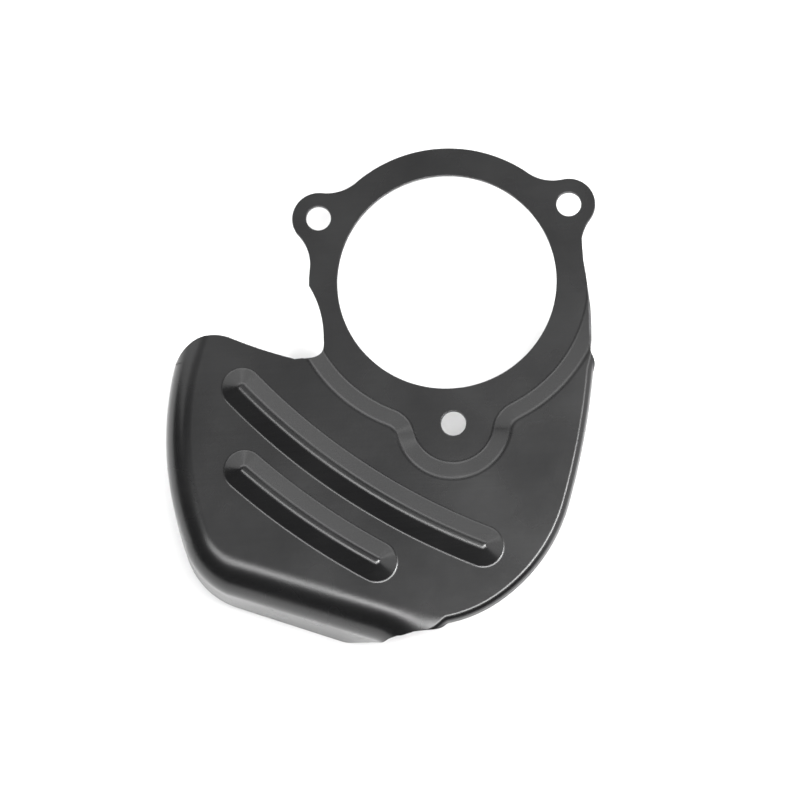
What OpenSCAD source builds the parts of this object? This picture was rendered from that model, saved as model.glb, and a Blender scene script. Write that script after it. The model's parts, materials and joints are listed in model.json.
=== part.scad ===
// Heat shield pressed from one steel sheet, with a ring flange that bolts round a pilot spigot.
// Origin: centre of the pilot opening, on the flange's back face. +Z points to the shield's outer face.
// Each formed stretch is a section drawn across the sheet and swept along an arc or a line.

/* [Sheet] */
// Thickness of the steel sheet
sheet_t = 1.5; // [1.4:0.1:1.6]
// Clearance of the trimming cuts past the faces they cut
cut_past = 1; // [0.8:0.1:1.5]

/* [Ring flange] */
// Diameter of the pilot opening
pilot_d = 75.4; // [74:0.1:77]
// Pitch circle diameter of the three bolt holes
bolt_pcd = 100; // [99.5:0.5:100.5]
// Diameter of a bolt hole, clear of an M8 bolt
bolt_hole_d = 8.5; // [8.4:0.1:9]
// Radius of the ring's outer edge
ring_r = 47.6; // [47.3:0.1:47.7]
// Radius of the ear round an upper bolt hole
ear_r = 9.2; // [8.8:0.1:9.6]
// Radius of the hollow curve between an ear and the ring
ear_blend_r = 15; // [14:0.5:16]

/* [Joggle] */
// Height of the panel's back face over the flange's back face
joggle_h = 4; // [3.8:0.1:4.2]
// Distance across the step, from its foot to its head
joggle_run = 8; // [7.8:0.1:8.2]
// Slope of the step between its two bends
joggle_slope = 34; // [33:0.5:36]
// Radius of the step's foot round the pilot opening
joggle_foot_r = 48; // [47.9:0.1:48.2]
// Radius of the step's foot round the lower bolt hole
boss_foot_r = 13; // [12.8:0.1:13.2]
// Radius of the foot where it turns from the ring to the lower bolt hole
boss_blend_r = 12; // [11.5:0.1:12.5]

/* [Beads] */
// Height of a stiffening bead over the panel
bead_h = 3.3; // [3:0.1:3.5]
// Half the width of a bead at its foot
bead_half_w = 7.5; // [7.3:0.1:7.7]
// Radius of a bead's foot bend, at the middle of the sheet
bead_foot_r = 2.75; // [2.6:0.05:2.9]
// Radius of a bead's crest, at the middle of the sheet
bead_crown_r = 3; // [2.8:0.1:3.4]
// Centre of the arcs that both beads follow, across
bead_arc_x = 103.5; // [103:0.1:104]
// Centre of the arcs that both beads follow, along
bead_arc_y = 117.4; // [117:0.1:118]
// Arc radius of the long bead
long_bead_r = 231.8; // [231.5:0.1:232.1]
// Arc radius of the short bead
short_bead_r = 251.7; // [251.5:0.1:252]

/* [Side wall] */
// Outer radius of the large bend along the left side
wall_bend_r = 10; // [9.5:0.1:10.5]
// Outer radius of the large bend along the lower side
lower_bend_r = 12.5; // [12:0.1:13]
// Lean of the left side wall away from square
wall_draft = 4; // [3:0.5:5]
// Lean of the lower side wall away from square
lower_draft = 0.5; // [0.5:0.5:3]
// Radius of the left side's bend line
left_r = 98.7; // [98.5:0.1:98.9]
// Radius of the bend line at the lower left corner
corner_r = 14; // [13.5:0.1:14.5]
// Heading of the lower side's bend line, clockwise from +X
lower_heading = 20; // [19.8:0.1:20.2]
// Depth of the wall's rim below the flange, measured at the pilot axis
rim_depth = 10.7; // [10.3:0.1:11.1]
// Tilt of the rim plane about the X axis
rim_tilt_x = 12.6; // [12.4:0.1:12.8]
// Tilt of the rim plane about the Y axis
rim_tilt_y = 2.6; // [2.4:0.1:2.8]

/* [Edge lip] */
// Outer radius of the lip's bend along the right and lower right edges
lip_bend_r = 2.2; // [2.1:0.1:2.4]
// Angle that the lip turns down through
lip_turn = 80; // [78:1:82]
// Straight height of the lip past its bend
lip_h = 2; // [1.8:0.1:2.2]
// Radius of the lower right edge
lower_edge_r = 59.5; // [59.4:0.1:59.7]
// Radius of the right edge
right_edge_r = 258.5; // [258.4:0.1:258.7]

/* [Hidden] */

$fn = 120;
coat = "#2a2a2c";
bend_steps = 4;
arc_step = 6;
bead_side_steps = 8;
bead_end_steps = 8;
end_step = 15;
crest_flat = 0.3;
lip_clear = 0.6;
far = 60;
wall_straight = 45;

bolt_r = bolt_pcd / 2;
bolt_angles = [30, 150, 270];
panel_z = joggle_h;

left_c = [9.5, -52.6];
lower_point = [-58.3, -98.5];
lower_dir = [cos(lower_heading), -sin(lower_heading)];
lower_out = [-sin(lower_heading), -cos(lower_heading)];
lower_out_a = 270 - lower_heading;
lower_len = 48;
left_start_a = 150;

lower_edge_c = [-19, -61.7];
edge_join_a = -18.5;
right_edge_c = lower_edge_c - (right_edge_r - lower_edge_r) * [cos(edge_join_a), sin(edge_join_a)];
end_edge_c = [-30, -68.2];
end_edge_r = 54.9;
lip_start_a = -76;
lip_end_a = -7.6;
lip_end_y = -32.6;
side_edge_c = [-95.8, -14.5];
side_edge_r = 144.4;
side_edge_top = [47.2, 13.5];

wing_edge_c = [-1.1, 137.8];
wing_edge_r = 171.2;
wing_round_r = 15.3;
wing_join_a = 244.5;
wing_round_c = wing_edge_c + (wing_edge_r + wing_round_r) * [cos(wing_join_a), sin(wing_join_a)];
notch_side_c = [-79.2, -16];
notch_side_r = 36;
notch_fillet_r = 6;
notch_fillet_c = [-49.2, -19.3];

// Corner centre: corner_r inside the lower bend line, and inside the left arc by the same radius
corner_from = lower_point - corner_r * lower_out;
corner_gap = corner_from - left_c;
corner_b = corner_gap * lower_dir;
corner_slide = -corner_b - sqrt(corner_b * corner_b - corner_gap * corner_gap + pow(left_r - corner_r, 2));
corner_c = corner_from + corner_slide * lower_dir;
left_end_a = 360 + atan2(corner_c.y - left_c.y, corner_c.x - left_c.x);

// Each bead is [arc radius, angle of its first end, angle of its last end]
beads = [
    [long_bead_r, 221, 245.7],
    [short_bead_r, 225.9, 238.5]
];
bead_bends = bead_foot_r + bead_crown_r;
bead_slope = atan2(bead_half_w, bead_bends - bead_h)
    - acos(bead_bends / norm([bead_half_w, bead_bends - bead_h]));

// Centres of the foot's two hollow turns, and where they meet the ring's and the boss's arcs
blend_x = (pow(joggle_foot_r + boss_blend_r, 2) - pow(boss_foot_r + boss_blend_r, 2)
    + bolt_r * bolt_r) / (2 * bolt_r);
blend_y = sqrt(pow(joggle_foot_r + boss_blend_r, 2) - blend_x * blend_x);
hub_a = atan2(blend_y, blend_x);
boss_a = atan2(blend_y, blend_x - bolt_r);

joggle_bend_r = (joggle_run * sin(joggle_slope) - joggle_h * cos(joggle_slope))
    / (2 * (1 - cos(joggle_slope)));

function arc_points(c, r, from, to, steps) =
    [for (i = [0:steps]) c + r * [cos(from + (to - from) * i / steps), sin(from + (to - from) * i / steps)]];

function steps_for(from, to) = ceil(abs(to - from) / arc_step);

function swept_arc(c, r, from, to) = arc_points(c, r, from, to, steps_for(from, to));

// Stations along arcs, each [centre, radius, from, to, facing]; an arc that faces in runs clockwise
function stations(arcs) = [for (k = [0:len(arcs) - 1])
    let (arc = arcs[k], steps = steps_for(arc[2], arc[3]))
    for (i = [(k == 0 ? 0 : 1):steps])
        let (a = arc[2] + (arc[3] - arc[2]) * i / steps)
        [arc[0] + arc[1] * [cos(a), sin(a)], arc[4] * [cos(a), sin(a)]]];

function reversed(list) = [for (i = [len(list) - 1:-1:0]) list[i]];

// One face of a sheet that steps up by rise over run; side is its distance from the sheet's middle
function step_face(run, rise, slope, foot_r, head_r, side) = concat(
    [for (i = [0:bend_steps]) let (a = slope * i / bend_steps)
        [(foot_r - side) * sin(a), foot_r - (foot_r - side) * cos(a)]],
    [for (i = [bend_steps:-1:0]) let (a = slope * i / bend_steps)
        [run - (head_r + side) * sin(a), rise - head_r + (head_r + side) * cos(a)]]);

// One face of a sheet that rolls down through turn degrees and runs straight on
function roll_face(bend_r, turn, straight, steps) = concat(
    [for (i = [0:steps]) let (a = turn * i / steps) [bend_r * sin(a), bend_r * cos(a)]],
    [[bend_r * sin(turn) + straight * cos(turn), bend_r * cos(turn) - straight * sin(turn)]]);

// Points at a distance of out from each station
function points_beside(list, out) = [for (s = list) s[0] + out * s[1]];

joggle_foot = stations([
    [[0, 0], joggle_foot_r, 195, 270 - hub_a, 1],
    [[-blend_y, -blend_x], boss_blend_r, 90 - hub_a, 90 - boss_a, -1],
    [[0, -bolt_r], boss_foot_r, 270 - boss_a, 270 + boss_a, 1],
    [[blend_y, -blend_x], boss_blend_r, 90 + boss_a, 90 + hub_a, -1],
    [[0, 0], joggle_foot_r, 270 + hub_a, 365, 1]
]);

wall_bend = concat(
    stations([
        [left_c, left_r, left_start_a, left_end_a, 1],
        [corner_c, corner_r, left_end_a, lower_out_a, 1]
    ]),
    [[lower_point + lower_len * lower_dir, lower_out]]
);

lip_bend = stations([
    [lower_edge_c, lower_edge_r - lip_bend_r, lip_start_a, edge_join_a, 1],
    [right_edge_c, right_edge_r - lip_bend_r, edge_join_a, lip_end_a, 1]
]);

// Section of the joggle: x runs out from its foot, y is height
joggle_section = concat(
    step_face(joggle_run, joggle_h, joggle_slope, joggle_bend_r, joggle_bend_r, sheet_t / 2),
    reversed(step_face(joggle_run, joggle_h, joggle_slope, joggle_bend_r, joggle_bend_r, -sheet_t / 2))
);

// Loop at a distance of half round a bead's centre line
function bead_loop(bead, half) = concat(
    arc_points([0, 0], bead[0] + half, bead[1], bead[2], bead_side_steps),
    arc_points(bead[0] * [cos(bead[2]), sin(bead[2])], half, bead[2] + end_step, bead[2] + 180 - end_step,
        bead_end_steps),
    arc_points([0, 0], bead[0] - half, bead[2], bead[1], bead_side_steps),
    arc_points(bead[0] * [cos(bead[1]), sin(bead[1])], half, bead[1] + 180 + end_step,
        bead[1] + 360 - end_step, bead_end_steps));

// Section of a sheet that rolls down, with its flat end's outer face at y = 0
function roll_section(outer_r, turn, straight, steps) = [
    for (p = concat(
        roll_face(outer_r, turn, straight, steps),
        reversed(roll_face(outer_r - sheet_t, turn, straight, steps))
    )) [p.x, p.y - outer_r]
];

// Share of the corner between the left and the lower side that the edge has turned through where it faces out
function turned(out) = out.y > 0 ? 0
    : min(1, max(0, (360 + atan2(out.y, out.x) - left_end_a) / (lower_out_a - left_end_a)));

function between(first, last, share) = first + (last - first) * share;

// Solid swept along stations, with one section for each; a section's x runs outward
module sweep(stations, sections) {
    n = len(sections[0]);
    last = len(stations) - 1;
    polyhedron(
        points = [for (j = [0:last]) let (s = stations[j]) for (p = sections[j])
            [s[0].x + p.x * s[1].x, s[0].y + p.x * s[1].y, p.y]],
        faces = concat(
            [[for (i = [0:n - 1]) i]],
            [[for (i = [n - 1:-1:0]) last * n + i]],
            [for (j = [0:last - 1]) for (i = [0:n - 1]) let (k = (i + 1) % n)
                [j * n + i, (j + 1) * n + i, (j + 1) * n + k, j * n + k]]),
        convexity = 10);
}

// Lobe round a point at bolt_r from the pilot axis, joined to a round hub by two hollow curves
module lobe(angle, hub_r, lobe_r, blend_r) {
    blend_x = (pow(hub_r + blend_r, 2) - pow(lobe_r + blend_r, 2) + bolt_r * bolt_r) / (2 * bolt_r);
    blend_y = sqrt(pow(hub_r + blend_r, 2) - blend_x * blend_x);
    rotate(angle) {
        translate([bolt_r, 0])
            circle(lobe_r);
        difference() {
            polygon([[0, 0], [blend_x, -blend_y], [bolt_r, 0], [blend_x, blend_y]]);
            for (side = [-1, 1])
                translate([blend_x, side * blend_y])
                    circle(blend_r);
        }
    }
}

// Ring with its two upper ears
module ring_outline() {
    circle(ring_r);
    for (i = [0:1])
        lobe(bolt_angles[i], ring_r, ear_r, ear_blend_r);
}

// Edges of the shield below the ring; it runs wide of the side wall and just clears the lip
module shield_outline() {
    polygon(concat(
        [[0, side_edge_top.y], side_edge_top],
        reversed(swept_arc(side_edge_c, side_edge_r, -5, 7.6)),
        reversed(swept_arc(right_edge_c, right_edge_r + lip_clear, edge_join_a, lip_end_a)),
        reversed(swept_arc(lower_edge_c, lower_edge_r + lip_clear, -89.1, edge_join_a)),
        reversed(swept_arc(end_edge_c, end_edge_r, 255, 282.5)),
        [[-45, -140], [-2 * far, -140]],
        [[-2 * far, -24]],
        reversed(swept_arc(wing_round_c, wing_round_r, 64.5, 152)),
        swept_arc(wing_edge_c, wing_edge_r, wing_join_a, 252.3),
        [[-50, -15], [-30, -10]]
    ));
}

// Open notch between the ring and the wing of the shield
module notch() {
    polygon(concat(
        reversed(swept_arc(notch_side_c, notch_side_r, 0, 34)),
        reversed(swept_arc(notch_fillet_c, notch_fillet_r, 257, 360)),
        reversed(swept_arc(wing_edge_c, wing_edge_r, 247, 252.3)),
        [[-65, 0]]
    ));
}

// A raised bead: loops round its centre line, from the back of its crest out to its foot and in again
module bead(bead) {
    back = step_face(bead_half_w, bead_h, bead_slope, bead_foot_r, bead_crown_r, -sheet_t / 2);
    front = step_face(bead_half_w, bead_h, bead_slope, bead_foot_r, bead_crown_r, sheet_t / 2);
    loops = concat(reversed(back), front);
    n = len(bead_loop(bead, 1));
    last = len(loops) - 1;
    translate([bead_arc_x, bead_arc_y, panel_z + sheet_t / 2])
        polyhedron(
            points = [for (l = loops) for (p = bead_loop(bead, max(bead_half_w - l.x, crest_flat)))
                [p.x, p.y, l.y]],
            faces = concat(
                [[for (i = [0:n - 1]) i]],
                [[for (i = [n - 1:-1:0]) last * n + i]],
                [for (j = [0:last - 1]) for (i = [0:n - 1]) let (k = (i + 1) % n)
                    [j * n + i, (j + 1) * n + i, (j + 1) * n + k, j * n + k]]),
            convexity = 10);
}

// The step from the flange up to the panel, concentric with the pilot opening and the lower bolt hole
module joggle() {
    translate([0, 0, sheet_t / 2])
        sweep(joggle_foot, [for (s = joggle_foot) joggle_section]);
}

// The rolled edge: the large bend and the side wall, then the small lip up to the joggle
module rolled_edge() {
    lip_section = roll_section(lip_bend_r, lip_turn, lip_h, 2 * bend_steps);
    translate([0, 0, panel_z + sheet_t])
        sweep(
            concat(wall_bend, lip_bend),
            concat(
                [for (s = wall_bend) let (share = turned(s[1]))
                    roll_section(between(wall_bend_r, lower_bend_r, share),
                        90 - between(wall_draft, lower_draft, share), wall_straight, 2 * bend_steps)],
                [for (s = lip_bend) lip_section]));
}

// Flat sheet inside the joggle's foot; it runs wide of the ring
module flange_plate() {
    linear_extrude(sheet_t)
        polygon(concat(points_beside(joggle_foot, 0), [[far, far], [-far, far]]));
}

// Flat sheet between the joggle's head and the bend lines
module panel_plate() {
    translate([0, 0, panel_z])
        linear_extrude(sheet_t)
            polygon(concat(
                points_beside(wall_bend, 0),
                points_beside(lip_bend, 0),
                [[far, lip_end_y], [far, 0], [-30, 0]]
            ));
}

// Openings in the panel: the area inside the joggle's head, and one for each bead
module panel_openings() {
    translate([0, 0, panel_z - cut_past])
        linear_extrude(sheet_t + 2 * cut_past)
            polygon(concat(points_beside(joggle_foot, joggle_run), [[far, far], [-far, far]]));
    for (b = beads)
        translate([bead_arc_x, bead_arc_y, panel_z - cut_past])
            linear_extrude(sheet_t + 2 * cut_past)
                polygon(bead_loop(b, bead_half_w));
}

// Everything on the kept side of the rim plane and of the wall's slanted end
module trimmed_space() {
    difference() {
        translate([0, 0, -rim_depth])
            rotate([rim_tilt_x, rim_tilt_y, 0])
                translate([-3 * far, -3 * far, 0])
                    cube([6 * far, 6 * far, 2 * far]);
        translate([0, -95, 0])
            rotate([90, 0, 0])
                linear_extrude(far)
                    polygon([[-42, -50], [-40, -32], [-24, 0.5], [far, 0.5], [far, -50]]);
    }
}

// Space over and under the whole sheet's plan
module plan_space() {
    translate([0, 0, -far])
        difference() {
            union() {
                linear_extrude(2 * far)
                    ring_outline();
                linear_extrude(2 * far)
                    shield_outline();
            }
            translate([0, 0, -cut_past])
                linear_extrude(2 * far + 2 * cut_past)
                    notch();
        }
}

module heat_shield() {
    color(coat)
        difference() {
            intersection() {
                union() {
                    flange_plate();
                    joggle();
                    for (b = beads)
                        bead(b);
                    difference() {
                        union() {
                            panel_plate();
                            rolled_edge();
                        }
                        panel_openings();
                    }
                }
                plan_space();
                trimmed_space();
            }
            translate([0, 0, -cut_past])
                cylinder(d = pilot_d, h = sheet_t + 2 * cut_past);
            for (a = bolt_angles)
                rotate([0, 0, a])
                    translate([bolt_r, 0, -cut_past])
                        cylinder(d = bolt_hole_d, h = sheet_t + 2 * cut_past);
        }
}

heat_shield();
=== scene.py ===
import json
import math

import bpy
import numpy as np
from mathutils import Matrix, Vector
from mathutils.geometry import delaunay_2d_cdt


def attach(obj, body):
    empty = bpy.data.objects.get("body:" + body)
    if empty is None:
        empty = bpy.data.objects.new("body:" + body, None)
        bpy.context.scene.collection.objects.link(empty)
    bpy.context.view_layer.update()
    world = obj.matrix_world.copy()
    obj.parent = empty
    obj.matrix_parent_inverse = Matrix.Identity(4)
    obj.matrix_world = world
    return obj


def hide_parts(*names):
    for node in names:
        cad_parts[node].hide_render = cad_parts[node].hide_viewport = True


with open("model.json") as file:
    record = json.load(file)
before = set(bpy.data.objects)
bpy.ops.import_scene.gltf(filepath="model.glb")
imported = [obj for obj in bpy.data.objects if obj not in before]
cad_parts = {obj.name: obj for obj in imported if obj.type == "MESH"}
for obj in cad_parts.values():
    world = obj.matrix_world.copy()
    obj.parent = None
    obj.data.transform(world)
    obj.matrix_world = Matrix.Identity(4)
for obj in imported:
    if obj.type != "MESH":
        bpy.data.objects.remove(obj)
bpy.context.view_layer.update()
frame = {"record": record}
print("frame loaded")

# Lengths are in millimetres and angles in degrees until a mesh is made
metresPerMm = 0.001
mounts = {mount["name"]: mount["dims"] for mount in frame["record"]["mounts"]}

# The one sheet: its thickness, its flange, its step, its beads and its rolled edge
shield = {
    "thick": 1.5,
    "pilotR": mounts["pilot_opening"]["r_mm"],
    "boltCircleR": mounts["flange_bolts"]["pcd_mm"] / 2,
    "boltHoleR": mounts["flange_bolts"]["hole_r_mm"],
    "boltAngles": (30, 150, 270),
    "ringR": 47.6, "earR": 9.2, "earBlendR": 15.0,
    "footR": 48.0, "bossR": 13.0, "bossBlendR": 12.0, "stepTopY": 2.0,
    "stepHeight": 4.0, "stepRun": 8.0, "stepSlope": 34.0,
    "beadHeight": 3.3, "beadHalfWidth": 7.5, "beadFootR": 2.75, "beadCrownR": 3.0,
    "beadCentre": (103.5, 117.4), "beads": ((231.8, 221.0, 245.7), (251.7, 225.9, 238.5)),
    "bendR": 9.25, "bendTurn": 86.0, "lowerBendR": 11.75, "lowerTurn": 89.5,
    "runOutR": 18.0, "runOutFrom": 34.0,
    "leftCentre": (9.5, -52.6), "leftR": 98.7, "cornerR": 14.0,
    "lowerPoint": (-58.3, -98.5), "lowerHeading": -20.0, "lowerLength": 48.0,
    "rimDepth": -10.7, "rimAcross": -0.0465, "rimAlong": 0.2235,
    "wallEndLow": (-40.0, -32.0), "wallEndHigh": (-24.0, 0.5),
    "lowerSideY": -95.0, "endCirclesFromX": -45.0, "wingRoundRise": 7.2, "spanWallMost": 8.0,
    "endCircles": ((-30.0, -68.2, 54.9), (-19.0, -61.7, 59.8)), "endBlend": 1.8,
    "lipR": 1.45, "lipTurn": 80.0, "lipLength": 4.0, "lipOuterR": 2.2,
    "lowerEdgeCentre": (-19.0, -61.7), "lowerEdgeR": 59.5, "rightEdgeR": 258.5,
    "edgeJoin": -18.5, "lipFlatFrom": -58.0, "lipFlatBy": 0.9,
    "lipFrom": -76.0, "lipTo": -6.4, "lipFade": 8.0,
    "sideCentre": (-95.8, -14.5), "sideR": 144.4, "sideFrom": -5.0, "sideTo": 7.6,
    "sideX": 47.2, "sideMidY": 9.0,
    "wingCentre": (-1.1, 137.8), "wingR": 171.2, "wingJoin": 244.5, "wingEnd": 252.3, "wingRoundR": 15.3,
    "notchCentre": (-79.2, -16.0), "notchR": 36.0, "notchTop": 28.5, "notchRing": 178.56,
    "notchFilletCentre": (-49.2, -19.3), "notchFilletR": 6.0, "notchFilletEnd": 257.0,
    "edgeRound": 0.3,
}

# How finely the sheet is divided, and how near its points may lie
divide = {
    "outlineStep": 0.8, "holeStep": 0.55, "alongStep": 1.2, "wallStep": 0.6, "flatStep": 3.0,
    "flatRowShare": 0.866, "rollRows": 44, "rollSpread": 0.45, "bendRows": 5,
    "stepRows": 5, "beadRows": 4, "cornerStations": 14, "spanStations": 16, "lowerEdgeStations": 50,
    "wallSearch": 75, "wallSamples": 3001, "joinWithin": 0.05, "rowClear": 0.45,
    "flatClear": 1.2, "flatClearSquared": 1.6, "weldWithin": 1e-4, "slopeReach": 0.01,
}


def unit(degrees):
    a = np.radians(degrees)
    return np.stack([np.cos(a), np.sin(a)], axis=-1)


def arc(centre, radius, start, end, step):
    count = max(2, int(math.ceil(abs(math.radians(end - start)) * radius / step)))
    return np.array(centre) + radius * unit(np.linspace(start, end, count + 1))


def line(start, end, step):
    start, end = np.array(start, float), np.array(end, float)
    count = max(1, int(math.ceil(np.linalg.norm(end - start) / step)))
    return start + np.linspace(0, 1, count + 1)[:, None] * (end - start)


def chain(*stretches):
    points = [stretches[0][0]]
    for stretch in stretches:
        for p in stretch:
            if np.linalg.norm(p - points[-1]) > divide["joinWithin"]:
                points.append(p)
    return np.array(points)


def headingOf(way):
    return math.degrees(math.atan2(way[1], way[0]))


def eased(t):
    return t * t * (3 - 2 * t)


def tangentLobe(hubR, lobeR, blendR, reach):
    # Where a hollow curve between a hub and a lobe has its centre, seen along the lobe's axis
    along = ((hubR + blendR) ** 2 - (lobeR + blendR) ** 2 + reach * reach) / (2 * reach)
    aside = math.sqrt((hubR + blendR) ** 2 - along * along)
    return along, aside


def blendProfile(distance, run, rise, slope, footR, headR):
    # Height of a sheet's middle that steps up by rise over run, with a round bend at each end
    a = math.radians(slope)
    footEnd = footR * math.sin(a)
    headStart = run - headR * math.sin(a)
    foot = footR - np.sqrt(np.clip(footR ** 2 - np.clip(distance, 0, footEnd) ** 2, 0, None))
    straight = np.clip(distance - footEnd, 0, headStart - footEnd) * math.tan(a)
    back = np.clip(run - distance, 0, run - headStart)
    head = np.sqrt(np.clip(headR ** 2 - back ** 2, 0, None)) - headR * math.cos(a)
    return np.where(distance > headStart, rise - headR * (1 - math.cos(a)) + head, foot + straight)


s = shield
stepA = math.radians(s["stepSlope"])
stepBendR = ((s["stepRun"] * math.sin(stepA) - s["stepHeight"] * math.cos(stepA))
             / (2 * (1 - math.cos(stepA))))
bends = s["beadFootR"] + s["beadCrownR"]
beadSlope = math.degrees(math.atan2(s["beadHalfWidth"], bends - s["beadHeight"])
                         - math.acos(bends / math.hypot(s["beadHalfWidth"], bends - s["beadHeight"])))
footAlong, footAside = tangentLobe(s["footR"], s["bossR"], s["bossBlendR"], s["boltCircleR"])
footHubAngle = headingOf((footAlong, footAside))
footBossAngle = headingOf((footAlong - s["boltCircleR"], footAside))


def footDistance(p):
    # How far a point lies outside the step's foot, which follows the ring and the lower boss
    x = np.abs(p[:, 0])
    y = p[:, 1]
    hub = np.hypot(x, y) - s["footR"]
    boss = np.hypot(x, y + s["boltCircleR"]) - s["bossR"]
    fromBlend = np.stack([x - footAside, y + footAlong], axis=-1)
    facing = np.degrees(np.arctan2(fromBlend[:, 1], fromBlend[:, 0])) % 360
    hollow = (facing > 90 + footHubAngle) & (facing < 90 + footBossAngle)
    inHollow = s["bossBlendR"] - np.hypot(fromBlend[:, 0], fromBlend[:, 1])
    outside = np.where(hollow, inHollow, np.minimum(hub, boss))
    return np.where(y > s["stepTopY"], -1, outside)


def beadDistance(p, bead):
    radius, start, end = bead
    q = p - np.array(s["beadCentre"])
    facing = np.degrees(np.arctan2(q[:, 1], q[:, 0])) % 360
    across = np.abs(np.hypot(q[:, 0], q[:, 1]) - radius)
    ends = [np.linalg.norm(q - radius * unit(a), axis=1) for a in (start, end)]
    return np.where((facing > start) & (facing < end), across, np.minimum(*ends))


def sheetHeight(p):
    z = blendProfile(footDistance(p), s["stepRun"], s["stepHeight"], s["stepSlope"], stepBendR, stepBendR)
    for bead in s["beads"]:
        inward = s["beadHalfWidth"] - beadDistance(p, bead)
        rise = blendProfile(inward, s["beadHalfWidth"], s["beadHeight"], beadSlope,
                            s["beadFootR"], s["beadCrownR"])
        z = z + np.where(inward > 0, rise, 0)
    return z + s["thick"] / 2


# Stations of the rolled edge: point on the bend line, facing outward, bend radius and unrolled length
lowerDir = unit(s["lowerHeading"])
lowerOutAngle = s["lowerHeading"] - 90 + 360
lowerOut = unit(lowerOutAngle)
cornerFrom = np.array(s["lowerPoint"]) - s["cornerR"] * lowerOut
gap = cornerFrom - np.array(s["leftCentre"])
along = gap @ lowerDir
slide = -along - math.sqrt(along ** 2 - gap @ gap + (s["leftR"] - s["cornerR"]) ** 2)
cornerCentre = cornerFrom + slide * lowerDir
leftEnd = headingOf(cornerCentre - np.array(s["leftCentre"])) % 360
rightCentre = np.array(s["lowerEdgeCentre"]) - (s["rightEdgeR"] - s["lowerEdgeR"]) * unit(s["edgeJoin"])
wingRoundCentre = np.array(s["wingCentre"]) + (s["wingR"] + s["wingRoundR"]) * unit(s["wingJoin"])


def circlesMeet(c0, r0, c1, r1, side):
    c0, c1 = np.array(c0), np.array(c1)
    apart = np.linalg.norm(c1 - c0)
    a = (r0 ** 2 - r1 ** 2 + apart ** 2) / (2 * apart)
    h = math.sqrt(r0 ** 2 - a ** 2)
    d = (c1 - c0) / apart
    return c0 + a * d + side * h * np.array([-d[1], d[0]])


wingCorner = circlesMeet(wingRoundCentre, s["wingRoundR"], s["leftCentre"], s["leftR"], -1)
if wingCorner[1] < wingRoundCentre[1]:
    wingCorner = circlesMeet(wingRoundCentre, s["wingRoundR"], s["leftCentre"], s["leftR"], 1)
leftStart = headingOf(wingCorner - np.array(s["leftCentre"])) % 360


def rolled(station, distance):
    # Points of the sheet's middle at unrolled distances past the bend line, and their normals
    firstLength = station["r1"] * station["a1"]
    secondLength = station["r2"] * station["a2"]
    one = np.minimum(distance, firstLength) / station["r1"]
    two = np.clip(distance - firstLength, 0, secondLength) / station["r2"]
    past = np.maximum(distance - firstLength - secondLength, 0)
    a1, a = station["a1"], one + two
    out = (station["r1"] * np.sin(one) + station["r2"] * (np.sin(a1 + two) - math.sin(a1))
           + past * np.cos(a))
    down = (station["r1"] * (1 - np.cos(one)) + station["r2"] * (math.cos(a1) - np.cos(a1 + two))
            + past * np.sin(a))
    point, facing = station["point"], station["facing"]
    place = np.stack([point[0] + out * facing[0], point[1] + out * facing[1],
                      s["thick"] / 2 + s["stepHeight"] - down], axis=-1)
    normal = np.stack([np.sin(a) * facing[0], np.sin(a) * facing[1], np.cos(a)], axis=-1)
    return place, normal


def wallLength(station):
    # Unrolled length at which the wall meets its rim, its slanted end or the outline's end circles
    d = np.linspace(0, divide["wallSearch"], divide["wallSamples"])
    place, normal = rolled(station, d)
    x, y, z = place[:, 0], place[:, 1], place[:, 2]
    low, high = s["wallEndLow"], s["wallEndHigh"]
    endX = low[0] + (z - low[1]) * (high[0] - low[0]) / (high[1] - low[1])
    cut = z < s["rimDepth"] + s["rimAcross"] * x + s["rimAlong"] * y
    cut |= (y < s["lowerSideY"]) & (z < high[1]) & (x > endX)
    outer = place + normal * s["thick"] / 2
    inCircles = [np.hypot(outer[:, 0] - c[0], outer[:, 1] - c[1]) < c[2] for c in s["endCircles"]]
    cut |= (y < s["lowerSideY"]) & (x > s["endCirclesFromX"]) & ~(inCircles[0] | inCircles[1])
    fromRound = outer[:, :2] - wingRoundCentre
    pastRound = np.hypot(fromRound[:, 0], fromRound[:, 1]) > s["wingRoundR"]
    cut |= (y > wingRoundCentre[1] + s["wingRoundRise"]) & pastRound
    return d[np.argmax(cut)] if cut.any() else d[-1]


def wallStation(point, facing, radius, turn):
    station = {"point": point, "facing": facing, "r1": radius, "a1": math.radians(turn),
               "r2": 1.0, "a2": 0.0}
    station["length"] = wallLength(station)
    return station


stations = []
leftSteps = int(abs(leftEnd - leftStart) * math.radians(1) * s["leftR"] / divide["alongStep"]) * 2
for angle in np.linspace(leftStart, leftEnd, leftSteps):
    facing = unit(angle)
    stations.append(wallStation(np.array(s["leftCentre"]) + s["leftR"] * facing, facing,
                                s["bendR"], s["bendTurn"]))
stations[0]["length"] = 0
for angle in np.linspace(leftEnd, lowerOutAngle, divide["cornerStations"])[1:]:
    facing = unit(angle)
    turned = (angle - leftEnd) / (lowerOutAngle - leftEnd)
    stations.append(wallStation(cornerCentre + s["cornerR"] * facing, facing,
                                s["bendR"] + (s["lowerBendR"] - s["bendR"]) * turned,
                                s["bendTurn"] + (s["lowerTurn"] - s["bendTurn"]) * turned))
straightFrom = len(stations)
straightStep = divide["wallStep"]
for u in np.arange(straightStep, s["lowerLength"] + 0.01, straightStep):
    opened = max(0, u - s["runOutFrom"]) / (s["lowerLength"] - s["runOutFrom"])
    radius = s["lowerBendR"] + (s["runOutR"] - s["lowerBendR"]) * opened ** 2
    stations.append(wallStation(np.array(s["lowerPoint"]) + u * lowerDir, lowerOut, radius,
                                s["lowerTurn"]))
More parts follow.
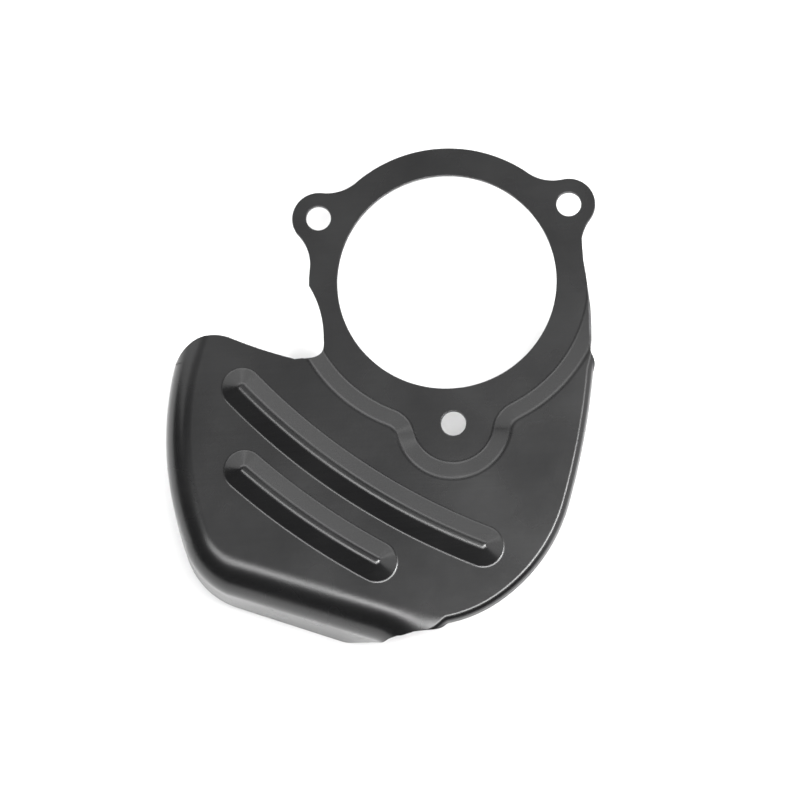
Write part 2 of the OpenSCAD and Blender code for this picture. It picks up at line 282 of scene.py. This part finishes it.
# The rim turns into the slanted end, and that into the lip, without sharp corners
lengths = np.array([st["length"] for st in stations])
reach = int(s["endBlend"] / straightStep)
for i in range(straightFrom + reach, len(stations) - reach):
    stations[i]["length"] = float(lengths[i - reach:i + reach + 1].mean())
for st in stations[straightFrom:]:
    if st["length"] < st["r1"] * st["a1"]:
        st["a1"] = st["length"] / st["r1"]

lastWall = stations[-1]
lipBendR = s["lowerEdgeR"] - s["lipOuterR"]


def lipRadius(angle):
    # The lower edge runs a little flatter than its circle where it comes to the large bend
    beyond = max(0, (s["lipFlatFrom"] - angle) / (s["lipFlatFrom"] - s["lipFrom"]))
    return lipBendR - s["lipFlatBy"] * beyond ** 2


lipStart = np.array(s["lowerEdgeCentre"]) + lipRadius(s["lipFrom"]) * unit(s["lipFrom"])
lipStartDir = unit(s["lipFrom"] + 90)
spanLength = np.linalg.norm(lipStart - lastWall["point"])
lipTurn = math.radians(s["lipTurn"])


def lipStation(point, facing, left=0.0, shown=1.0):
    # left is the turn still there of the large bend, and shown is the share of the lip there is
    station = {"point": point, "facing": facing, "r1": s["runOutR"], "a1": left, "r2": s["lipR"],
               "a2": (lipTurn - left) * shown}
    straight = (s["lipLength"] - s["lipR"] * lipTurn) * shown
    station["length"] = station["r1"] * left + station["r2"] * station["a2"] + straight
    return station


for t in np.linspace(0, 1, divide["spanStations"])[1:-1]:
    smooth = eased(t)
    point = ((1 + 2 * t) * (1 - t) ** 2 * lastWall["point"] + t * (1 - t) ** 2 * spanLength * lowerDir
             + smooth * lipStart + t * t * (t - 1) * spanLength * lipStartDir)
    facing = unit(lowerOutAngle + (s["lipFrom"] + 360 - lowerOutAngle) * smooth)
    station = lipStation(point, facing, lastWall["a1"] * (1 - smooth), smooth)
    wallLeft = min(wallLength(station), s["spanWallMost"])
    station["length"] = station["length"] * smooth + wallLeft * (1 - smooth)
    stations.append(station)
for angle in np.linspace(s["lipFrom"], s["edgeJoin"], divide["lowerEdgeStations"]):
    facing = unit(angle)
    stations.append(lipStation(np.array(s["lowerEdgeCentre"]) + lipRadius(angle) * facing, facing))
sideStart = np.array(s["sideCentre"]) + s["sideR"] * unit(s["sideFrom"])
rightBendR = s["rightEdgeR"] - s["lipOuterR"]
rightSteps = int(abs(s["lipTo"] - s["edgeJoin"]) * math.radians(1) * rightBendR / divide["alongStep"])
sideReach = np.linalg.norm(sideStart - rightCentre)
for angle in np.linspace(s["edgeJoin"], s["lipTo"], rightSteps)[1:]:
    facing = unit(angle)
    toEnd = abs(s["lipTo"] - angle) * math.radians(1) * rightBendR
    fade = eased(1 - min(1, toEnd / s["lipFade"]))
    radius = rightBendR + (sideReach - rightBendR) * fade
    stations.append(lipStation(rightCentre + radius * facing, facing, 0.0, 1 - fade))
stations[-1]["length"] = 0
print("rolled edge:", len(stations), "stations")

# The flat outline, counter-clockwise from the top of the right edge
earAlong, earAside = tangentLobe(s["ringR"], s["earR"], s["earBlendR"], s["boltCircleR"])
earHub = headingOf((earAlong, earAside))
earTip = headingOf((earAlong - s["boltCircleR"], earAside))
earReach = s["ringR"] + s["earBlendR"]
blendTop = earReach * unit(30 - earHub)
meetAngle = 180 - math.degrees(math.acos((blendTop[0] - s["sideX"]) / s["earBlendR"]))
step = divide["outlineStep"]
ears = []
for tip, start in ((30, meetAngle), (150, 150 - earHub + 180)):
    ears.append(chain(
        arc(earReach * unit(tip - earHub), s["earBlendR"], start, tip - earTip + 180, step),
        arc(s["boltCircleR"] * unit(tip), s["earR"], tip - earTip, tip + earTip, step),
        arc(earReach * unit(tip + earHub), s["earBlendR"], tip + earTip + 180, tip + earHub + 180, step)))
wingCornerAngle = headingOf(wingCorner - wingRoundCentre)
sideTop = np.array(s["sideCentre"]) + s["sideR"] * unit(s["sideTo"])
bendLine = np.array([st["point"] for st in stations])
outline = chain(
    ears[0],
    arc((0, 0), s["ringR"], 30 + earHub, 150 - earHub, step),
    ears[1],
    arc((0, 0), s["ringR"], 150 + earHub, s["notchRing"], step),
    arc(s["notchCentre"], s["notchR"], s["notchTop"], 0, step),
    arc(s["notchFilletCentre"], s["notchFilletR"], 360, s["notchFilletEnd"], step),
    arc(s["wingCentre"], s["wingR"], s["wingEnd"], s["wingJoin"], step),
    arc(wingRoundCentre, s["wingRoundR"], s["wingJoin"] - 180, wingCornerAngle, step)[:-1])
sideMid = (s["sideX"], s["sideMidY"])
lower = chain(
    arc(s["sideCentre"], s["sideR"], s["sideFrom"], s["sideTo"], step)[1:],
    line(sideTop, sideMid, step),
    line(sideMid, blendTop + s["earBlendR"] * unit(meetAngle), step)[:-1])
bendFirst = len(outline)
outline = np.concatenate([outline, bendLine, lower])


def insideLoop(points, loop):
    inside = np.zeros(len(points), bool)
    x, y = points[:, 0], points[:, 1]
    for a, b in zip(loop, np.roll(loop, -1, axis=0)):
        if a[1] == b[1]:
            continue
        crosses = (a[1] > y) != (b[1] > y)
        inside ^= crosses & (x < (b[0] - a[0]) * (y - a[1]) / (b[1] - a[1]) + a[0])
    return inside


def loopDistance(points, loop):
    best = np.full(len(points), 1e9)
    for a, b in zip(loop, np.roll(loop, -1, axis=0)):
        d = b - a
        t = np.clip(((points - a) @ d) / max(d @ d, 1e-12), 0, 1)
        best = np.minimum(best, np.linalg.norm(points - (a + t[:, None] * d), axis=1))
    return best


holes = [arc((0, 0), s["pilotR"], 360, 0, step)[:-1]]
for a in s["boltAngles"]:
    holes.append(arc(s["boltCircleR"] * unit(a), s["boltHoleR"], 360, 0, divide["holeStep"])[:-1])


def rowDistances(footEnd, headStart, end, slopeRows):
    # Distances across a formed stretch: close together in its two bends, wider on the slope between
    return np.concatenate([np.linspace(0, footEnd, divide["bendRows"]),
                           np.linspace(footEnd, headStart, slopeRows)[1:-1],
                           np.linspace(headStart, end, divide["bendRows"])])


# Rows of points follow the step and the beads, so that the mesh bends along them
rows = []
rowStep = divide["alongStep"]
footEnd = stepBendR * math.sin(stepA)
for d in rowDistances(footEnd, s["stepRun"] - footEnd, s["stepRun"], divide["stepRows"]):
    hubR, bossR, hollowR = s["footR"] + d, s["bossR"] + d, s["bossBlendR"] - d
    rows.append((chain(
        arc((0, 0), hubR, 180, 270 - footHubAngle, rowStep),
        arc((-footAside, -footAlong), hollowR, 90 - footHubAngle, 90 - footBossAngle, rowStep),
        arc((0, -s["boltCircleR"]), bossR, 270 - footBossAngle, 270 + footBossAngle, rowStep),
        arc((footAside, -footAlong), hollowR, 90 + footBossAngle, 90 + footHubAngle, rowStep),
        arc((0, 0), hubR, 270 + footHubAngle, 370, rowStep)), False))
beadFootEnd = s["beadFootR"] * math.sin(math.radians(beadSlope))
beadCrownStart = s["beadHalfWidth"] - s["beadCrownR"] * math.sin(math.radians(beadSlope))
for radius, start, end in s["beads"]:
    first = np.array(s["beadCentre"]) + radius * unit(start)
    last = np.array(s["beadCentre"]) + radius * unit(end)
    for d in rowDistances(beadFootEnd, beadCrownStart, s["beadHalfWidth"], divide["beadRows"])[:-1]:
        half = s["beadHalfWidth"] - d
        endStep = min(rowStep, 0.3 + half / 5)
        rows.append((chain(
            arc(s["beadCentre"], radius + half, start, end, rowStep),
            arc(last, half, end, end + 180, endStep),
            arc(s["beadCentre"], radius - half, end, start, rowStep),
            arc(first, half, start + 180, start + 360, endStep))[:-1], True))
    rows.append((arc(s["beadCentre"], radius, start, end, rowStep), False))

flatPoints = []
flatEdges = []
loops = [outline] + holes
for loop in loops:
    first = len(flatPoints)
    flatPoints += [tuple(p) for p in loop]
    flatEdges += [(first + i, first + (i + 1) % len(loop)) for i in range(len(loop))]
taken = []
for row, closed in rows:
    keep = insideLoop(row, outline) & (loopDistance(row, outline) > divide["rowClear"])
    for hole in holes:
        keep &= ~insideLoop(row, hole)
    first = len(flatPoints)
    index = np.cumsum(keep) - 1 + first
    flatPoints += [tuple(p) for p in row[keep]]
    taken.append(row[keep])
    pairs = range(len(row) if closed else len(row) - 1)
    flatEdges += [(int(index[i]), int(index[(i + 1) % len(row)])) for i in pairs
                  if keep[i] and keep[(i + 1) % len(row)]]
taken = np.concatenate(taken)
low, high = outline.min(axis=0), outline.max(axis=0)
g = divide["flatStep"]
grid = np.array([(x + (j % 2) * g / 2, y)
                 for j, y in enumerate(np.arange(low[1], high[1], g * divide["flatRowShare"]))
                 for x in np.arange(low[0], high[0], g)])
keep = insideLoop(grid, outline)
for loop in loops:
    keep &= loopDistance(grid, loop) > divide["flatClear"]
for hole in holes:
    keep &= ~insideLoop(grid, hole)
grid = grid[keep]
apart = np.array([np.min(np.sum((taken - p) ** 2, axis=1)) > divide["flatClearSquared"] for p in grid])
flatPoints += [tuple(p) for p in grid[apart]]
made = delaunay_2d_cdt([Vector(p) for p in flatPoints], flatEdges, [], 0, divide["weldWithin"])
flat = np.array([tuple(p) for p in made[0]])
triangles = np.array([f for f in made[2]])
fromInput = np.full(len(flatPoints), -1)
for index, sources in enumerate(made[3]):
    fromInput[list(sources)] = index
centres = flat[triangles].mean(axis=1)
keep = insideLoop(centres, flat[fromInput[:len(outline)]])
for hole in holes:
    keep &= ~insideLoop(centres, hole)
triangles = triangles[keep]
print("flat blank:", len(flat), "points", len(triangles), "triangles")

# The sheet's middle: the pressed blank and the rolled edge, welded along the bend line
h = divide["slopeReach"]
height = sheetHeight(flat)
slopeX = (sheetHeight(flat + [h, 0]) - sheetHeight(flat - [h, 0])) / (2 * h)
slopeY = (sheetHeight(flat + [0, h]) - sheetHeight(flat - [0, h])) / (2 * h)
normals = np.stack([-slopeX, -slopeY, np.ones(len(flat))], axis=-1)
places = [np.column_stack([flat, height])]
directions = [normals / np.linalg.norm(normals, axis=1)[:, None]]
faces = [tuple(int(i) for i in t) for t in triangles]
rowCount = divide["rollRows"]
share = np.linspace(0, 1, rowCount + 1)
share = (1 - divide["rollSpread"]) * share + divide["rollSpread"] * share ** 2
grid = []
count = len(flat)
for i, station in enumerate(stations):
    seam = int(fromInput[bendFirst + i])
    if station["length"] < 1e-6:
        grid.append([seam] * (rowCount + 1))
        continue
    place, normal = rolled(station, share[1:] * station["length"])
    places.append(place)
    directions.append(normal)
    grid.append([seam] + list(range(count, count + rowCount)))
    count += rowCount
places = np.concatenate(places)
directions = np.concatenate(directions)
for one, two in zip(grid, grid[1:]):
    for j in range(rowCount):
        faces.append((one[j], one[j + 1], two[j + 1], two[j]))
cornersOf = [list(dict.fromkeys(int(v) for v in f)) for f in faces]
cornersOf = [f for f in cornersOf if len(f) > 2]
used = sorted({v for f in cornersOf for v in f})
newIndex = {v: i for i, v in enumerate(used)}
places, directions = places[used], directions[used]
clean = []
for f in cornersOf:
    f = [newIndex[v] for v in f]
    a, b, c = places[f[0]], places[f[1]], places[f[2]]
    clean.append(f if np.cross(b - a, c - a) @ directions[f[0]] > 0 else f[::-1])
edges = {}
for f in clean:
    for a, b in zip(f, f[1:] + f[:1]):
        edges[(a, b)] = edges.get((a, b), 0) + 1
border = [(a, b) for (a, b) in edges if (b, a) not in edges]
print("sheet middle:", len(places), "vertices", len(clean), "faces", len(border), "border edges")

# Both faces of the sheet, and a rounded edge round every border
outward = np.zeros_like(places)
onBorder = np.zeros(len(places), bool)
for a, b in border:
    side = np.cross(places[b] - places[a], (directions[a] + directions[b]) / 2)
    side /= max(np.linalg.norm(side), 1e-9)
    outward[a] += side
    outward[b] += side
    onBorder[a] = onBorder[b] = True
outward /= np.maximum(np.linalg.norm(outward, axis=1), 1e-9)[:, None]
half = s["thick"] / 2
r = s["edgeRound"]
count = len(places)
inset = np.where(onBorder, r, 0)[:, None] * outward
vertices = [places - inset + half * directions, places - inset - half * directions]
vertexNormals = [directions, -directions]
allFaces = [f for f in clean] + [[v + count for v in f[::-1]] for f in clean]
borderIndex = {v: i for i, v in enumerate(np.nonzero(onBorder)[0])}
borderVerts = np.nonzero(onBorder)[0]
ringAngles = [22.5, 45, 67.5, 90, 90, 112.5, 135, 157.5]
frontRings = len(ringAngles) // 2
rings = [list(borderVerts)]
for k, a in enumerate(ringAngles):
    a = math.radians(a)
    centreOffset = (half - r) * (1 if k < frontRings else -1)
    way = math.sin(a) * outward[borderVerts] + math.cos(a) * directions[borderVerts]
    vertices.append(places[borderVerts] - r * outward[borderVerts]
                    + centreOffset * directions[borderVerts] + r * way)
    vertexNormals.append(way)
    rings.append([2 * count + k * len(borderVerts) + i for i in range(len(borderVerts))])
rings.append([v + count for v in borderVerts])
for a, b in border:
    ia, ib = borderIndex[a], borderIndex[b]
    for upper, under in zip(rings, rings[1:]):
        allFaces.append([int(upper[ib]), int(upper[ia]), int(under[ia]), int(under[ib])])
vertices = np.concatenate(vertices)
vertexNormals = np.concatenate(vertexNormals)
# Every vertex of the rounded edge is marked for a painted sheen: a lighter grey that stands in for light
# caught on the edge
edgeSheenMask = np.zeros(len(vertices))
edgeSheenMask[2 * count:] = 1
mesh = bpy.data.meshes.new("heatShieldSheet")
mesh.from_pydata((vertices * metresPerMm).tolist(), [], [list(map(int, f)) for f in allFaces])
mesh.update()
mesh.shade_smooth()
mesh.normals_split_custom_set_from_vertices(vertexNormals.tolist())
mesh.attributes.new("paintedEdgeSheen", "FLOAT", "POINT").data.foreach_set("value", edgeSheenMask.astype(np.float32))
sheet = bpy.data.objects.new("heatShieldSheet", mesh)
bpy.context.collection.objects.link(sheet)
print("sheet:", len(vertices), "vertices", len(allFaces), "faces")


# Black satin coating, with a painted sheen of lighter grey on its rounded edges
def setInputs(node, values):
    for name, value in values.items():
        node.inputs[name].default_value = value


def coatSurfaceGroup():
    # Fine grain, faint orange peel and long rolling streaks of the coated sheet
    tree = bpy.data.node_groups.new("coatSurface", "ShaderNodeTree")
    for name, value in (("Grain", 0.2), ("Peel", 0.3), ("Streaks", 0.1), ("Roughness", 0.4)):
        socket = tree.interface.new_socket(name=name, in_out="INPUT", socket_type="NodeSocketFloat")
        socket.default_value = value
    for name, kind in (("Normal", "NodeSocketVector"), ("Roughness", "NodeSocketFloat"),
                       ("Tone", "NodeSocketFloat")):
        tree.interface.new_socket(name=name, in_out="OUTPUT", socket_type=kind)
    nodes, links = tree.nodes, tree.links
    start = nodes.new("NodeGroupInput")
    end = nodes.new("NodeGroupOutput")
    place = nodes.new("ShaderNodeTexCoord")
    grain = nodes.new("ShaderNodeTexNoise")
    setInputs(grain, {"Scale": 3200.0, "Detail": 3.0, "Roughness": 0.6})
    peel = nodes.new("ShaderNodeTexNoise")
    setInputs(peel, {"Scale": 420.0, "Detail": 2.0, "Roughness": 0.5})
    stretch = nodes.new("ShaderNodeMapping")
    stretch.inputs["Scale"].default_value = (60.0, 1500.0, 60.0)
    streak = nodes.new("ShaderNodeTexNoise")
    setInputs(streak, {"Scale": 1.0, "Detail": 4.0, "Roughness": 0.6})
    cloud = nodes.new("ShaderNodeTexNoise")
    setInputs(cloud, {"Scale": 26.0, "Detail": 3.0, "Roughness": 0.55})
    for noise in (grain, peel, cloud):
        links.new(place.outputs["Object"], noise.inputs["Vector"])
    links.new(place.outputs["Object"], stretch.inputs["Vector"])
    links.new(stretch.outputs["Vector"], streak.inputs["Vector"])
    last = None
    for noise, name, distance in ((peel, "Peel", 0.00006), (streak, "Streaks", 0.00002),
                                  (grain, "Grain", 0.00001)):
        bump = nodes.new("ShaderNodeBump")
        bump.inputs["Distance"].default_value = distance
        links.new(noise.outputs["Fac"], bump.inputs["Height"])
        links.new(start.outputs[name], bump.inputs["Strength"])
        if last:
            links.new(last.outputs["Normal"], bump.inputs["Normal"])
        last = bump
    links.new(last.outputs["Normal"], end.inputs["Normal"])
    spread = nodes.new("ShaderNodeMapRange")
    setInputs(spread, {"From Min": 0.3, "From Max": 0.7, "To Min": -0.05, "To Max": 0.05})
    links.new(cloud.outputs["Fac"], spread.inputs["Value"])
    add = nodes.new("ShaderNodeMath")
    add.operation = "ADD"
    links.new(spread.outputs["Result"], add.inputs[0])
    links.new(start.outputs["Roughness"], add.inputs[1])
    links.new(add.outputs["Value"], end.inputs["Roughness"])
    links.new(streak.outputs["Fac"], end.inputs["Tone"])
    return tree


coatSurface = coatSurfaceGroup()


def blackCoating():
    look = {
        "dark": (0.004, 0.004, 0.0042, 1), "light": (0.008, 0.008, 0.0083, 1),
        # The grey for the edges is a painted sheen, not the coating's own colour
        "paintedSheen": (0.11, 0.11, 0.115, 1),
        "surface": {"Grain": 0.25, "Peel": 0.25, "Streaks": 0.4, "Roughness": 0.27},
    }
    material = bpy.data.materials.new("blackCoating")
    material.use_nodes = True
    nodes, links = material.node_tree.nodes, material.node_tree.links
    surface = nodes["Principled BSDF"]
    group = nodes.new("ShaderNodeGroup")
    group.node_tree = coatSurface
    setInputs(group, look["surface"])
    tone = nodes.new("ShaderNodeMix")
    tone.data_type = "RGBA"
    tone.inputs["A"].default_value = look["dark"]
    tone.inputs["B"].default_value = look["light"]
    # Painted edge sheen: on the rounded edges, noise patches mix the black toward a lighter grey
    onSheenEdge = nodes.new("ShaderNodeAttribute")
    onSheenEdge.attribute_name = "paintedEdgeSheen"
    patchy = nodes.new("ShaderNodeTexNoise")
    setInputs(patchy, {"Scale": 160.0, "Detail": 4.0, "Roughness": 0.65})
    place = nodes.new("ShaderNodeTexCoord")
    links.new(place.outputs["Object"], patchy.inputs["Vector"])
    amount = nodes.new("ShaderNodeMapRange")
    setInputs(amount, {"From Min": 0.42, "From Max": 0.7, "To Min": 0.0, "To Max": 0.8})
    links.new(patchy.outputs["Fac"], amount.inputs["Value"])
    paintedSheen = nodes.new("ShaderNodeMath")
    paintedSheen.operation = "MULTIPLY"
    links.new(amount.outputs["Result"], paintedSheen.inputs[0])
    links.new(onSheenEdge.outputs["Fac"], paintedSheen.inputs[1])
    mixed = nodes.new("ShaderNodeMix")
    mixed.data_type = "RGBA"
    mixed.inputs["B"].default_value = look["paintedSheen"]
    links.new(group.outputs["Tone"], tone.inputs["Factor"])
    links.new(tone.outputs["Result"], mixed.inputs["A"])
    links.new(paintedSheen.outputs["Value"], mixed.inputs["Factor"])
    links.new(mixed.outputs["Result"], surface.inputs["Base Color"])
    links.new(group.outputs["Roughness"], surface.inputs["Roughness"])
    links.new(group.outputs["Normal"], surface.inputs["Normal"])
    return material


sheet.data.materials.append(blackCoating())
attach(sheet, "root")
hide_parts("heat_shield")
print("coating done")

# Pale floor under the rim
floorLook = {"reach": 6.0, "surface": {"Base Color": (0.78, 0.78, 0.78, 1), "Roughness": 0.8,
                                       "Specular IOR Level": 0.0}}
lowest = float(vertices[:, 2].min()) * metresPerMm
floorMesh = bpy.data.meshes.new("floor")
corners = [(x * floorLook["reach"], y * floorLook["reach"], lowest)
           for x, y in ((-1, -1), (1, -1), (1, 1), (-1, 1))]
floorMesh.from_pydata(corners, [], [(0, 1, 2, 3)])
floor = bpy.data.objects.new("floor", floorMesh)
bpy.context.collection.objects.link(floor)
pale = bpy.data.materials.new("paleFloor")
pale.use_nodes = True
setInputs(pale.node_tree.nodes["Principled BSDF"], floorLook["surface"])
floorMesh.materials.append(pale)
print("floor done")

# Camera
camera = bpy.data.objects.new("camera", bpy.data.cameras.new("camera"))
bpy.context.collection.objects.link(camera)
camera.data.sensor_width = 36
camera.data.lens = 171
cameraPlace = Vector((0.04083, -0.32300, 1.26801))
cameraAxes = Matrix(((0.9975, 0.0544, 0.0452), (-0.0434, 0.9752, -0.2172), (-0.0559, 0.2147, 0.9751)))
camera.matrix_world = Matrix.Translation(cameraPlace) @ cameraAxes.to_4x4()
bpy.context.scene.camera = camera

# Soft studio light: three sources low on the near side, two above, and three wide ones round the floor
aim = Vector((-0.018, -0.04, 0))


def softLight(name, tilt, facing, distance, size, power):
    # tilt is measured from +Z, and facing from +X; the distance and the size are in metres
    data = bpy.data.lights.new(name, "AREA")
    data.shape = "RECTANGLE"
    data.size, data.size_y = size
    data.energy = power
    light = bpy.data.objects.new(name, data)
    bpy.context.collection.objects.link(light)
    t, f = math.radians(tilt), math.radians(facing)
    way = Vector((math.sin(t) * math.cos(f), math.sin(t) * math.sin(f), math.cos(t)))
    light.location = aim + way * distance
    light.rotation_euler = way.to_track_quat("Z", "Y").to_euler()


def softLightAt(name, across, along, *rest):
    # across and along are the light's direction, as the parts of a unit vector along X and Y
    tilt = math.degrees(math.asin(math.hypot(across, along)))
    softLight(name, tilt, math.degrees(math.atan2(along, across)), *rest)


softLightAt("keyStrip", 0.14, -0.2, 1.6, (1.2, 0.46), 32)
softLightAt("keyLeft", -0.36, -0.2, 1.6, (0.6, 0.42), 7)
softLightAt("keyRight", 0.42, -0.07, 1.6, (0.5, 0.22), 12)
softLight("topLight", 12, 100, 2.0, (0.7, 0.6), 0.9)
softLight("backLight", 44, 92, 1.8, (2.4, 0.6), 12)
for name, facing in (("wideRight", 5), ("wideBack", 65), ("wideLeft", 125)):
    softLight(name, 66, facing, 1.8, (2.1, 1.5), 17)
# The plain transform lets the floor reach white
bpy.context.scene.view_settings.view_transform = "Standard"
world = bpy.data.worlds.new("studio")
bpy.context.scene.world = world
world.use_nodes = True
setInputs(world.node_tree.nodes["Background"], {"Color": (0.5, 0.5, 0.5, 1), "Strength": 0.12})
print("camera and light done")
